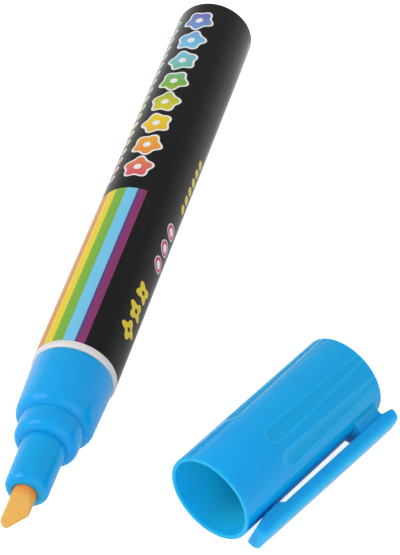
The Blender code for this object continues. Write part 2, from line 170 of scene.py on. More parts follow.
class BarrelSettings(bpy.types.PropertyGroup):
    """White tube and the film round it"""

    steps: count("Facets", "Facets round the barrel", 144, 48)
    film: length("Film", "Thickness of the printed film", 0.20)
    gap: length("Gap", "Gap between the film and the tube", 0.06)
    wall: length("Wall", "Wall of the tube", 1.20)
    tail_wall: length("Tail wall", "Wall of the closed tail", 1.60)
    tail_rounding: length("Tail rounding", "Radius of the tail's edge", 0.80)
    chamfer: length("Rim chamfer", "Radius lost at the rim's front edge", 0.30)
    chamfer_length: length("Chamfer length", "Length of the rim's chamfer", 0.50)
    seam_width: length("Seam width", "Width of the film's overlap", 2.40)
    seam_step: length("Seam step", "How far the overlap stands proud", 0.05)
    seam_angle: turn("Seam angle", "Free edge of the overlap, from the right-hand side over the top", 75.0)
    white: colour("White", "Moulded white plastic", 0.73, 0.705, 0.705)


class PrintSettings(bpy.types.PropertyGroup):
    """Print on the film"""

    black: colour("Black", "Ground of the film", 0.0100, 0.0100, 0.0103)
    panel: length("Panel", "Length of the stripe panel", 42.8)
    purple: colour("Purple", "First stripe", 0.245, 0.040, 0.145)
    indigo: colour("Indigo", "Narrow stripe beside it", 0.120, 0.050, 0.220)
    sky: colour("Sky", "Second stripe", 0.175, 0.545, 0.800)
    green: colour("Green", "Third stripe", 0.195, 0.435, 0.058)
    yellow: colour("Yellow", "Fourth stripe", 0.770, 0.590, 0.032)
    salmon: colour("Salmon", "Last stripe", 0.620, 0.245, 0.050)
    outline: colour("Outline", "Outline of the flowers", 0.800, 0.800, 0.800)
    pink: colour("Pink", "Rings on the right-hand side", 0.600, 0.060, 0.230)
    flower: length("Flower", "Radius of the flowers", 2.55)
    flower_pitch: length("Flower pitch", "Distance from flower to flower", 6.8)
    softness: length("Softness", "Width over which a printed edge fades", 0.06)


class NoseSettings(bpy.types.PropertyGroup):
    """Blue stepped nose"""

    steps: count("Facets", "Facets round the nose", 128, 48)
    fit: length("Fit", "Gap between the nose and the barrel", 0.06)
    setback: length("Setback", "From the sleeve's surface to the collar's back", 0.31)
    collar_taper: length("Collar taper", "Radius lost along the collar", 0.45)
    collar: length("Collar", "Length of the collar", 12.70)
    collar_rounding: length("Collar rounding", "Size of the collar's rounded front edge", 1.38)
    collar_slope: length("Collar slope", "How far the collar's front falls back at its edge", 0.46)
    step_radius: length("Step radius", "Radius of the step", 5.875)
    step: length("Step", "Length of the step", 5.10)
    step_rounding: length("Step rounding", "Size of the step's rounded front edge", 1.70)
    nozzle_back: length("Nozzle back", "Radius at the nozzle's root", 4.075)
    nozzle_front: length("Nozzle front", "Radius at the nozzle's mouth", 3.95)
    nozzle_rounding: length("Nozzle rounding", "Radius of the nozzle's edge", 1.40)
    fillet: length("Fillet", "Fillet in the inner corners", 0.10)
    lip: length("Lip", "Rounding of the guide's edge", 0.15)
    guide: length("Guide", "Radius of the bore that guides the nib", 2.23)
    guide_length: length("Guide length", "Length of that bore", 4.00)
    gallery: length("Gallery", "Radius of the ink space round the nib", 3.00)
    shoulder: length("Shoulder", "Wall between the collar's front and the valve", 1.80)
    valve_hole: length("Valve hole", "Radius of the valve's bore", 5.26)


class NibSettings(bpy.types.PropertyGroup):
    """Fibre chisel nib"""

    steps: count("Facets", "Facets round the nib", 72, 24)
    radius: length("Radius", "Radius of the fibre rod", 2.15)
    edge: length("Edge", "Thickness left at the edge", 0.55)
    flats: length("Flats", "Length of the flats, from the edge up to the rod's round", 4.00)
    slant: length("Slant", "How much shorter one side of the chisel is", 3.25)
    corner_length: length("Corner length", "Worn corner, along the nib", 1.10)
    corner_width: length("Corner width", "Worn corner, across the nib", 1.40)
    roll: turn("Roll", "Turn of the chisel about the nib", -6.5)
    rounding: length("Rounding", "Soft edge of the felt", 0.40)
    light: colour("Light", "Fibre at the tip", 0.86, 0.475, 0.105)
    deep: colour("Deep", "Fibre soaked with ink", 0.86, 0.27, 0.035)


class ValveSettings(bpy.types.PropertyGroup):
    """Spring of the valve"""

    wire: length("Wire", "Thickness of the spring's wire", 0.50)
    wire_steps: count("Facets", "Facets round the wire", 12, 6)
    turns: count("Turns", "Turns of the spring", 7, 3)
    turn_steps: count("Steps", "Mesh steps in one turn", 36, 12)


class CapSettings(bpy.types.PropertyGroup):
    """Fluted cap and the seal in it"""

    steps: count("Facets", "Facets round the cap", 360, 90)
    ring_spacing: length("Ring spacing", "Distance between the mesh's rings along the wall", 0.30)
    length: length("Length", "Length of the cap", 38.06)
    wall: length("Wall", "Wall of the cap", 0.80)
    mouth_rounding: length("Mouth rounding", "Rounding of the mouth's outer edge", 0.25)
    end_rounding: length("End rounding", "Rounding of the closed end's edge", 0.30)
    bead_place: length("Bead place", "Snap bead in the bore, from the mouth", 6.50)
    bead_height: length("Bead height", "How far the bead stands proud", 0.05)
    bead_width: length("Bead width", "Width of the bead", 0.80)
    flute_radius: length("Flute radius", "Radius of the flutes across", 5.00)
    flute_depth: length("Flute depth", "Depth at the flutes' front ends", 0.45)
    flute_end_depth: length("Flute end depth", "Depth at the closed end", 0.08)
    flute_start: length("Flute start", "Front end of the flutes, from the mouth", 11.5)
    flute_softness: length("Flute softness", "Roundness of the flutes' edges", 0.010)
    flute_first: turn("First flute", "Flutes next to the clip, from the clip both ways", 52.0)
    flute_second: turn("Second flute", "Flutes beside those", 86.0)
    flute_third: turn("Third flute", "Flutes on the far side of the clip", 149.0)
    flute_reach: turn("Flute reach", "Half of the angle that a flute can take up", 20.0)
    # Painted highlight along the flutes' edges, and painted light in the bore that grows from the mouth inwards
    flute_highlight_width: length("Flute line", "Half of the width of the pale line along a flute's edge", 0.22)
    flute_highlight: share("Flute pale", "How pale that line is", 0.3)
    mouth_painted_light: share("Mouth pale", "How pale the bore is at the mouth", 0.20)
    bore_painted_light: share("Bore pale", "How pale it is where light comes only through the wall", 1.0)
    bore_light: length("Bore light", "How deep light reaches through the mouth", 7.0)
    seal_bore: length("Seal bore", "Radius of the seal's bore", 4.155)
    seal_wall: length("Seal wall", "Wall of the seal", 0.80)
    seal_length: length("Seal length", "Length of the seal", 13.0)
    seal_flange: length("Seal flange", "Thickness of the seal's flange", 1.00)


class ClipSettings(bpy.types.PropertyGroup):
    """Clip bar on the cap"""

    width: length("Width", "Width of the bar", 5.50)
    thickness: length("Thickness", "Thickness of the bar, at the mouth", 2.44)
    gap: length("Gap", "Between the cap and the bar, at the mouth", 0.97)
    lean: turn("Lean", "How the bar spreads from the cap towards the closed end", 0.51)
    taper: turn("Taper", "How the bar grows thicker towards the closed end", 0.43)
    tip: length("Tip", "The bar's tip, behind the mouth", 0.60)
    overhang: length("Overhang", "How far the bar stands past the closed end", 0.45)
    nose_length: length("Nose length", "Sloped outer corner at the top, along the bar", 0.80)
    nose_depth: length("Nose depth", "Sloped outer corner at the top, across the bar", 0.25)
    lead_length: length("Lead length", "Sloped inner side at the top, along the bar", 2.30)
    lead_depth: length("Lead depth", "Sloped inner side at the top, across the bar", 0.50)
    rounding: length("Rounding", "Rounding of the bar's edges", 0.35)
    outer_rounding: length("Outer rounding", "Rounding of the bar's two long outer edges", 1.50)
    foot_start: length("Foot start", "Foot under the bar, from the mouth", 4.10)
    foot_length: length("Foot length", "Length of the foot", 3.55)
    foot_ramp: length("Foot ramp", "Ramp behind the foot", 1.00)
    foot_gap: length("Foot gap", "Between the foot and the cap", 0.20)
    web_setback: length("Web setback", "From the closed end to the web", 1.87)
    web_length: length("Web length", "Length of the web", 6.90)
    web_width: length("Web width", "Width of the web where it leaves the bar", 4.75)
    web_waist: length("Web waist", "Width of the web at its narrowest", 4.70)
    web_foot: length("Web foot", "Width of the web in the cap's wall", 6.90)
    web_root: length("Web root", "How deep the web is moulded into the cap's wall", 0.78)
    web_waist_height: length("Waist height", "From the cap to the web's narrowest place", 1.00)
    web_fillet: length("Web fillet", "How far the web's front falls back from the bar", 0.35)
    web_prow: length("Web prow", "Length over which the web narrows to its front", 0.80)
    web_edge: length("Web edge", "Width of the web at its front", 3.00)
    # Painted light on the web's front, where it lies in shade, and a painted reflection on the bar's outer edges
    web_painted_light: share("Web pale", "How pale the web's front is", 0.50)
    bar_painted_reflection: share("Bar pale", "How pale the bar's outer edges are", 0.35)


class FinishSettings(bpy.types.PropertyGroup):
    """Finishes used by more than one piece"""

    blue: colour("Blue", "Moulded blue plastic", 0.003, 0.380, 0.810)
    # Colour of the painted light: painted highlights, reflections and light over shade on the blue plastic
    painted_light_blue: colour("Pale blue", "The same plastic where it is thin or stressed", 0.030, 0.660, 1.000)
    milky: colour("Milky", "Natural plastic of the valve and the seal", 0.70, 0.71, 0.70)
    steel: colour("Steel", "Bright steel", 0.60, 0.60, 0.61)
    grain: length("Grain", "Size of the moulded grain", 0.30)
    flow: length("Flow", "Size of the cloudy flow marks in moulded plastic", 7.0)
    scuff: length("Scuff", "Length of the fine rubbing marks", 6.0)
    depth: length("Depth", "How far light travels inside moulded plastic", 2.2)


class StageSettings(bpy.types.PropertyGroup):
    """Floor, light and camera"""

    floor: length("Floor", "Length of the floor", 40000.0)
    floor_white: colour("Floor white", "Colour of the floor", 0.90, 0.90, 0.90)
    floor_glow: share("Floor glow", "What the camera sees on top of the lit floor", 0.80)
    mirrored_glow: share("Mirrored glow", "What reflections see on top of the lit floor", 0.25)
    world: share("World", "Strength of the light from all round", 0.60)
    ceiling: share("Ceiling", "How bright the surroundings look overhead, in reflections too", 0.65)
    key_power: power("Key", "Power of the large key lamp", 5.9)
    fill_power: power("Fill", "Power of the fill lamp", 2.2)
    lamp_size: length("Lamp size", "Width of both lamps", 900.0)
    focal_length: FloatProperty(
        name="Focal length", description="Focal length of the camera in millimetres", default=166.62,
        unit="CAMERA",
    )


class MarkerSettings(bpy.types.PropertyGroup):
    """All settings of the marker"""

    barrel: settings_of("Barrel", BarrelSettings)
    print: settings_of("Print", PrintSettings)
    nose: settings_of("Nose", NoseSettings)
    nib: settings_of("Nib", NibSettings)
    valve: settings_of("Valve", ValveSettings)
    cap: settings_of("Cap", CapSettings)
    clip: settings_of("Clip", ClipSettings)
    finish: settings_of("Finish", FinishSettings)
    stage: settings_of("Stage", StageSettings)


# Shapes


def turned_shape(corners, steps, closed=True, ring_radius=0.0, ring_spacing=0.0):
    """Turn (radius, height, rounding) corners about Z; an open outline starts and ends on the axis.

    A wall at ring_radius gets rings at ring_spacing along its height.
    """
    shape = bmesh.new()
    points = [shape.verts.new((radius, 0.0, height)) for radius, height, _ in corners]
    for pair in zip(points, points[1:]):
        shape.edges.new(pair)
    if closed:
        shape.edges.new((points[-1], points[0]))
    for point, (_, _, rounding) in zip(points, corners):
        if rounding > 0.0:
            bmesh.ops.bevel(
                shape, geom=[point], offset=rounding, offset_type="OFFSET", affect="VERTICES",
                segments=ROUND_SEGMENTS, profile=0.5, material=-1,
            )
    if ring_spacing > 0.0:
        for edge in shape.edges[:]:
            on_wall = all(abs(vert.co.x - ring_radius) < MERGE_DISTANCE for vert in edge.verts)
            cuts = int(edge.calc_length() / ring_spacing)
            if on_wall and cuts > 0:
                bmesh.ops.subdivide_edges(shape, edges=[edge], cuts=cuts)
    bmesh.ops.spin(
        shape, geom=shape.verts[:] + shape.edges[:], axis=(0.0, 0.0, 1.0), cent=ORIGIN,
        angle=2 * math.pi, steps=steps, use_merge=True,
    )
    bmesh.ops.remove_doubles(shape, verts=shape.verts[:], dist=MERGE_DISTANCE)
    return shape


def new_piece(name, shape, place, node, body, material):
    """Put a finished shape into the scene, riding on a body in the place of a CAD node."""
    bmesh.ops.remove_doubles(shape, verts=shape.verts[:], dist=MERGE_DISTANCE)
    bmesh.ops.recalc_face_normals(shape, faces=shape.faces[:])
    bmesh.ops.transform(shape, matrix=place, verts=shape.verts[:])
    open_edges = [edge for edge in shape.edges if not edge.is_manifold]
    if open_edges:
        raise RuntimeError(f"{name} has {len(open_edges)} open edges")
    for face in shape.faces:
        face.smooth = True
    mesh = bpy.data.meshes.new(name)
    shape.to_mesh(mesh)
    shape.free()
    mesh.set_sharp_from_angle(angle=SHARP_ANGLE)
    mesh.materials.append(material)
    piece = bpy.data.objects.new(name, mesh)
    bpy.context.scene.collection.objects.link(piece)
    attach(piece, body)
    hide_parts(node)
    return piece


def cut_off(shape, point, normal):
    """Cut a closed shape at a plane, throw away the normal's side and close the cut."""
    geometry = shape.verts[:] + shape.edges[:] + shape.faces[:]
    made = bmesh.ops.bisect_plane(
        shape, geom=geometry, dist=MERGE_DISTANCE, plane_co=point, plane_no=normal.normalized(),
        clear_outer=True,
    )
    rim = [item for item in made["geom_cut"] if isinstance(item, bmesh.types.BMEdge)]
    bmesh.ops.contextual_create(shape, geom=rim)


def sharp_edges(shape, angle):
    return [edge for edge in shape.edges if edge.is_manifold and edge.calc_face_angle() > angle]


def round_edges(shape, edges, rounding, segments=ROUND_SEGMENTS, clamp=False):
    bmesh.ops.bevel(
        shape, geom=edges, offset=rounding, offset_type="OFFSET", affect="EDGES", segments=segments,
        profile=0.5, material=-1, clamp_overlap=clamp,
    )


def barrel_shape(barrel):
    """White tube, closed at the tail, with a rim as thick as the film at its mouth."""
    tube = sleeve_radius - barrel.film - barrel.gap
    bore = tube - barrel.wall
    tail_flat = sleeve_radius - barrel.tail_rounding - barrel.gap
    under_film = barrel.film + barrel.gap
    inside = sleeve_length - barrel.tail_wall
    corners = [
        (0.0, sleeve_length, 0.0),
        (tail_flat, sleeve_length, barrel.film / 2),
        (tail_flat, sleeve_length - under_film, 0.0),
        (tube, sleeve_length - under_film, TAIL_SHARE * (barrel.tail_rounding - under_film)),
        (tube, -barrel.gap, 0.0),
        (sleeve_radius, -barrel.gap, EDGE_SHARE * barrel.film),
        (sleeve_radius, rim_front + barrel.chamfer_length, barrel.chamfer / 2),
        (sleeve_radius - barrel.chamfer, rim_front, barrel.chamfer / 2),
        (bore, rim_front, EDGE_SHARE * barrel.film),
        (bore, inside, barrel.film),
        (0.0, inside, 0.0),
    ]
    return turned_shape(corners, barrel.steps, closed=False)


def film_shape(barrel):
    """Printed film, drawn over the tail's edge, with the step of its overlap."""
    inner = sleeve_radius - barrel.film
    end = sleeve_radius - barrel.tail_rounding
    corners = [
        (sleeve_radius, 0.0, FILM_EDGE_SHARE * barrel.film),
        (sleeve_radius, sleeve_length, ALMOST_FULL * barrel.tail_rounding),
        (end, sleeve_length, 0.0),
        (end, sleeve_length - barrel.film, 0.0),
        (inner, sleeve_length - barrel.film, ALMOST_FULL * (barrel.tail_rounding - barrel.film)),
        (inner, 0.0, 0.0),
    ]
    shape = turned_shape(corners, barrel.steps)
    half_facet = math.pi / barrel.steps
    overlap = barrel.seam_width / sleeve_radius
    for vert in shape.verts:
        behind_edge = barrel.seam_angle + half_facet - math.atan2(-vert.co.x, -vert.co.y)
        reach = Vector((vert.co.x, vert.co.y, 0.0))
        if 0.0 < behind_edge < overlap and reach.length > inner + barrel.film / 2:
            fade = 1.0 - behind_edge / overlap
            vert.co += reach.normalized() * barrel.seam_step * min(1.0, fade / SEAM_FADE)
    return shape


def nose_shape(nose, barrel):
    """Collar, step and nozzle with the spigot behind them, bored for the nib and the valve."""
    collar_back_radius = sleeve_radius - nose.setback
    collar_front_radius = collar_back_radius - nose.collar_taper
    spigot = sleeve_radius - barrel.film - barrel.gap - barrel.wall - nose.fit
    collar_back = rim_front - nose.fit
    collar_front = collar_back - nose.collar
    step_front = collar_front - nose.step
    guide_end = nozzle_front + nose.guide_length
    valve_seat = collar_front + nose.shoulder
    corners = [
        (spigot, nose_back, nose.lip),
        (spigot, collar_back, 0.0),
        (collar_back_radius, collar_back, nose.lip),
        (collar_front_radius, collar_front + nose.collar_slope, nose.collar_rounding),
        (nose.step_radius, collar_front, nose.fillet),
        (nose.step_radius, step_front, nose.step_rounding),
        (nose.nozzle_back, step_front, nose.fillet),
        (nose.nozzle_front, nozzle_front, nose.nozzle_rounding),
        (nose.guide, nozzle_front, nose.lip),
        (nose.guide, guide_end, 0.0),
        (nose.gallery, guide_end, 0.0),
        (nose.gallery, valve_seat, 0.0),
        (nose.valve_hole, valve_seat, 0.0),
        (nose.valve_hole, nose_back, 0.0),
    ]
    return turned_shape(corners, nose.steps)


def nib_shape(nib):
    """Fibre rod cut to a slanted chisel with a worn corner and soft edges."""
    run = nib_back - nib_tip
    shape = bmesh.new()
    bmesh.ops.create_cone(
        shape, cap_ends=True, segments=nib.steps, radius1=nib.radius, radius2=nib.radius, depth=run,
        matrix=Matrix.Translation((0.0, 0.0, (nib_tip + nib_back) / 2)),
    )
    around = Matrix.Rotation(nib.roll, 3, "Z")
    peak = nib.radius - nib.corner_width
    off_edge = Vector((0.0, -nib.slant, nib.corner_width - 2 * nib.radius)).normalized()
    flat_run = nib.radius - nib.edge / 2
    for side in (1.0, -1.0):
        point = around @ Vector((side * nib.edge / 2, peak, nib_tip))
        cut_off(shape, point, around @ (Vector((side * nib.flats, 0.0, 0.0)) + flat_run * off_edge))
    tip = around @ Vector((0.0, peak, nib_tip))
    cut_off(shape, tip, around @ off_edge)
    cut_off(shape, tip, around @ Vector((0.0, nib.corner_length, -nib.corner_width)))
    felt_edges = sharp_edges(shape, FELT_EDGE_ANGLE)
    round_edges(shape, felt_edges, nib.rounding, segments=FELT_SEGMENTS, clamp=True)
    return shape


def spring_shape(valve):
    """Coil of round wire between the head of the valve's stem and the cage."""
    wire = valve.wire / 2
    coil = (spring_high.z - spring_low.z) / 2 - wire
    front = spring_low.x - sleeve_low.x + wire
    rise = spring_high.x - spring_low.x - valve.wire
    steps = valve.turns * valve.turn_steps
    start = Matrix.Translation((coil, 0.0, front)) @ Matrix.Rotation(math.pi / 2, 4, "X")
    shape = bmesh.new()
    bmesh.ops.create_circle(shape, segments=valve.wire_steps, radius=wire, matrix=start)
    bmesh.ops.spin(
        shape, geom=shape.verts[:] + shape.edges[:], axis=(0.0, 0.0, 1.0), cent=ORIGIN,
        dvec=(0.0, 0.0, rise / steps), angle=2 * math.pi * valve.turns, steps=steps,
    )
    bmesh.ops.holes_fill(shape, edges=shape.edges[:])
    return shape


def flute_depth(cap, height):
    """Depth of the flutes at a height on the cap: they fade towards the closed end."""
    fade = (cap.flute_depth - cap.flute_end_depth) / (cap.length - cap.flute_start)
    return cap.flute_depth - fade * (height - cap.flute_start)


def flute_floor(cap, offset, height):
    """Radius of a flute's floor at an angle from its middle and a height, or None outside it."""
    out = cap_radius - flute_depth(cap, height) + cap.flute_radius
    round_end = math.sqrt(cap.flute_radius ** 2 - (cap.flute_radius - cap.flute_depth) ** 2)
    ahead = max(0.0, cap.flute_start + round_end - height)
    inside = cap.flute_radius ** 2 - ahead ** 2 - (out * math.sin(offset)) ** 2
    if inside <= 0.0:
        return None
    return out * math.cos(offset) - math.sqrt(inside)


def flute_wall(shape, cap):
    """Press the flutes into the cap's outer wall and mark where light is painted on it.

    There are three flutes on each side of the clip. Their edges get a painted highlight, the mouth's rim and the
    bore painted light.
    """
    pale = shape.verts.layers.float.new(PAINTED_LIGHT)
    from_clip = (cap.flute_first, cap.flute_second, cap.flute_third)
    middles = [side * angle for angle in from_clip for side in (-1.0, 1.0)]
    for vert in shape.verts:
        radius = math.hypot(vert.co.x, vert.co.y)
        if radius < cap_radius - cap.mouth_rounding / 2:
            if vert.co.z < cap.length - cap.wall / 2:
                # Painted light in the bore, paler from the mouth inwards where the bore lies in shade
                inward = min(1.0, vert.co.z / cap.bore_light)
                vert[pale] = cap.mouth_painted_light + (cap.bore_painted_light - cap.mouth_painted_light) * inward
            continue
        angle = math.atan2(vert.co.y, vert.co.x)
        floors = []
        for middle in middles:
            offset = math.remainder(angle - middle, 2 * math.pi)
            if abs(offset) < cap.flute_reach:
                floors.append(flute_floor(cap, offset, vert.co.z))
        depths = [radius - floor for floor in floors if floor is not None]
        deepest = max(depths, default=-radius)
        soft = math.hypot(deepest, 2 * cap.flute_softness)
        spill = cap.flute_softness * math.exp(min(0.0, deepest) / cap.flute_softness)
        pressed = max(0.0, (deepest + soft) / 2 - spill)
        scale = (radius - pressed) / radius
        vert.co.x *= scale
        vert.co.y *= scale
        # Painted highlight along each flute's edge
        depth = max(cap.flute_end_depth, flute_depth(cap, vert.co.z))
        steepness = math.sqrt(2 * depth * (1 / cap.flute_radius + 1 / cap_radius))
        from_edge = abs(deepest) / steepness
        vert[pale] = cap.flute_highlight * max(0.0, 1.0 - from_edge / cap.flute_highlight_width)


def cap_shape(cap):
    """Cap with a rounded mouth, a snap bead in its bore and flutes on its wall."""
    bore = cap_radius - cap.wall
    depth = cap.length - cap.wall
    bead_soft = EDGE_SHARE * cap.bead_width
    corners = [
        (0.0, cap.length, 0.0),
        (cap_radius, cap.length, cap.end_rounding),
        (cap_radius, 0.0, cap.mouth_rounding),
        (bore, 0.0, cap.mouth_rounding),
        (bore, cap.bead_place - cap.bead_width / 2, bead_soft),
        (bore - cap.bead_height, cap.bead_place, bead_soft),
        (bore, cap.bead_place + cap.bead_width / 2, bead_soft),
        (bore, depth, cap.end_rounding),
        (0.0, depth, 0.0),
    ]
    shape = turned_shape(
        corners, cap.steps, closed=False, ring_radius=cap_radius, ring_spacing=cap.ring_spacing,
    )
    flute_wall(shape, cap)
    return shape


def seal_shape(cap):
    """Flanged sleeve that grips the nozzle inside the cap."""
    top = cap.length - cap.wall
    outer = cap.seal_bore + cap.seal_wall
    flange = cap_radius - cap.wall - SEAL_PLAY * cap.seal_wall
    front = top - cap.seal_length
    lip = EDGE_SHARE * cap.seal_wall
    corners = [
        (flange, top, 0.0),
        (flange, top - cap.seal_flange, lip),
        (outer, top - cap.seal_flange, lip),
        (outer, front, lip),
        (cap.seal_bore, front, lip),
        (cap.seal_bore, top, 0.0),
    ]
    return turned_shape(corners, SEAL_FACETS)


def clip_shape(clip, cap):
    """Bar with its foot, its sloped end and the web that joins it to the cap.

    The bar is drawn from the side, as (distance from the cap's axis, height) corners.
    """

    def face(height):
        return cap_radius + clip.gap + height * math.tan(clip.lean)

    def back(height):
        return face(height) + clip.thickness + height * math.tan(clip.taper)

    top = cap.length + clip.overhang
    foot_end = clip.foot_start + clip.foot_length
    ramp_end = foot_end + clip.foot_ramp
    nose_start = top - clip.nose_length
    lead_start = top - clip.lead_length
    outline = [
        (face(clip.tip), clip.tip),
        (cap_radius + clip.foot_gap, clip.foot_start),
        (cap_radius + clip.foot_gap, foot_end),
        (face(ramp_end), ramp_end),
        (face(lead_start), lead_start),
        (face(top) + clip.lead_depth, top),
        (back(top) - clip.nose_depth, top),
        (back(nose_start), nose_start),
        (back(clip.tip), clip.tip),
    ]
    shape = bmesh.new()
    corners = [shape.verts.new((out, -clip.width / 2, height)) for out, height in outline]
    grown = bmesh.ops.extrude_face_region(shape, geom=[shape.faces.new(corners)])
    far_side = [item for item in grown["geom"] if isinstance(item, bmesh.types.BMVert)]
    bmesh.ops.translate(shape, verts=far_side, vec=(0.0, clip.width, 0.0))
    bmesh.ops.recalc_face_normals(shape, faces=shape.faces[:])
    outer_long = []
    for edge in shape.edges:
        ends = [vert.co for vert in edge.verts]
        along_side = abs(ends[0].y - ends[1].y) < MERGE_DISTANCE
        outside = all(end.x > face(end.z) + clip.thickness / 2 for end in ends)
        if along_side and outside:
            outer_long.append(edge)
    round_edges(shape, outer_long, clip.outer_rounding)
    round_edges(shape, sharp_edges(shape, BAR_EDGE_ANGLE), clip.rounding)
    # Painted reflection: the bar's outer rounding is painted paler
    pale = shape.verts.layers.float.new(PAINTED_LIGHT)
    for vert in shape.verts:
        outward = 1.0 + (vert.co.x - back(vert.co.z)) / clip.outer_rounding
        vert[pale] = clip.bar_painted_reflection * min(1.0, max(0.0, outward - BAR_REFLECTION_START) / BAR_REFLECTION_RISE)
    add_web(shape, clip, cap)
    return shape


def add_web(shape, clip, cap):
    """Draw the web out of the bar's inner face and into the cap's wall, with a waist between them."""
    web_back = cap.length - clip.web_setback
    web_front = web_back - clip.web_length
    prow_end = web_front + clip.web_prow
    half_width = clip.web_width / 2
    cuts = [((0.0, 0.0, height), (0.0, 0.0, 1.0)) for height in (web_front, prow_end, web_back)]
    cuts += [((0.0, across, 0.0), (0.0, 1.0, 0.0)) for across in (half_width, -half_width)]
    for point, normal in cuts:
        geometry = shape.verts[:] + shape.edges[:] + shape.faces[:]
        bmesh.ops.bisect_plane(
            shape, geom=geometry, dist=MERGE_DISTANCE, plane_co=point, plane_no=normal,
        )
    patch = []
    for item in shape.faces:
        middle = item.calc_center_median()
        within = web_front < middle.z < web_back and abs(middle.y) < half_width
        if within and item.normal.x < FACING_CAP:
            patch.append(item)
    waist = clip.web_waist_height
    bar_height = clip.gap + web_front * math.tan(clip.lean)
    above = bar_height - waist
    below = waist + clip.web_root
    heights = [waist + above * step / WEB_RINGS for step in range(WEB_RINGS - 1, -1, -1)]
    heights += [waist - below * step / WEB_RINGS for step in range(1, WEB_RINGS + 1)]
    pale = shape.verts.layers.float[PAINTED_LIGHT]
    for height in heights:
        if height > waist:
            swell = ((height - waist) / above) ** 2
            width = clip.web_waist + (clip.web_width - clip.web_waist) * swell
        else:
            swell = ((waist - height) / below) ** 2
            width = clip.web_waist + (clip.web_foot - clip.web_waist) * swell
        grown = bmesh.ops.extrude_face_region(shape, geom=patch)["geom"]
        bmesh.ops.delete(shape, geom=[item for item in patch if item.is_valid], context="FACES")
        patch = [item for item in grown if isinstance(item, bmesh.types.BMFace)]
        for item in grown:
            if isinstance(item, bmesh.types.BMVert):
                item.co.x = cap_radius + height
                item.co.y = math.copysign(width / 2, item.co.y)
                if item.co.z < web_front + clip.web_prow / 2:
                    item.co.y = math.copysign(clip.web_edge / 2, item.co.y)
                    item.co.z = web_front + clip.web_fillet * (1.0 - swell)
                    # Painted light on the web's front, where it lies in shade
                    item[pale] = clip.web_painted_light


# Finishes

NOISE_RANGE = (0.3, 0.7)    # a noise texture's values lie mostly between these

# Moulded plastic
GRAIN_TONE = 0.012
CLOUD_GLOSS = 0.03
GRAIN_GLOSS = 0.06
GRAIN_RELIEF = 0.0012 * MM
PLASTIC_SCATTER = (0.2, 0.9, 1.0)

# Rubbing marks
STREAK_TURNS = ((0.3, 0.5, 0.2), (0.3, -1.1, 0.2))    # radians
STREAK_THINNESS = 14
STREAK_LEVEL = (0.66, 0.72)
HANDLED_SCALE = 0.09
HANDLED_LEVEL = (0.42, 0.62)
RUBBED_PALENESS = 0.10
RUBBED_PLASTIC = 0.04
RUBBED_STEEL = 0.15
RUBBED_FILM = 0.05
RUBBED_PRINT = 0.005

# Steel
TARNISH_SCALE = 0.8
TARNISH_LEVEL = (0.4, 0.7)
TARNISH_TONE = 0.8
DRAWN_SCALE = 9.0
DRAWN_ROUGHNESS = 0.12
DRAWN_RELIEF = 0.002 * MM
STEEL_ROUGHNESS = 0.18

# Nib
STRAND_STRETCH = 0.12
STRAND_SCALE = 5.0
STRAND_LEVEL = (0.52, 0.75)
STRAND_DARKNESS = 0.45
STRAND_TONE = 0.78
PORE_SCALE = 3.2
PORE_BLOTCH = 0.22
PORE_DEPTH = 0.5
DRY_LENGTH = 2.6    # millimetres in front of the nozzle over which the fibre pales
FELT_ROUGHNESS = (0.72, 0.95)
FELT_RELIEF = 0.05 * MM
FELT_SCATTER = (1.0, 0.5, 0.2)
FELT_SCATTER_WEIGHT = 0.15
FELT_SCATTER_DEPTH = 0.6 * MM

# Film: angles in degrees from the top towards +Y, distances in millimetres from its front edge
STRIPES_FIRST = -14.8
STRIPES_LAST = 84.0
RAINBOW_SPAN = (45.0, 101.0)
RAINBOW_RED = (0.62, 0.05, 0.16)
RAINBOW_ORANGE = (0.80, 0.30, 0.05)
RAINBOW_VIOLET = (0.16, 0.10, 0.42)
MOTIF_TURN = 0.45    # radians from one motif of a row to the next
DUST_SCALE = 0.35
FILM_ROUGHNESS = (0.10, 0.16)
FILM_SPECULAR = 0.11
RIPPLE_STRETCH = 0.3
RIPPLE_SCALE = 0.35
RIPPLE_RELIEF = 0.05 * MM


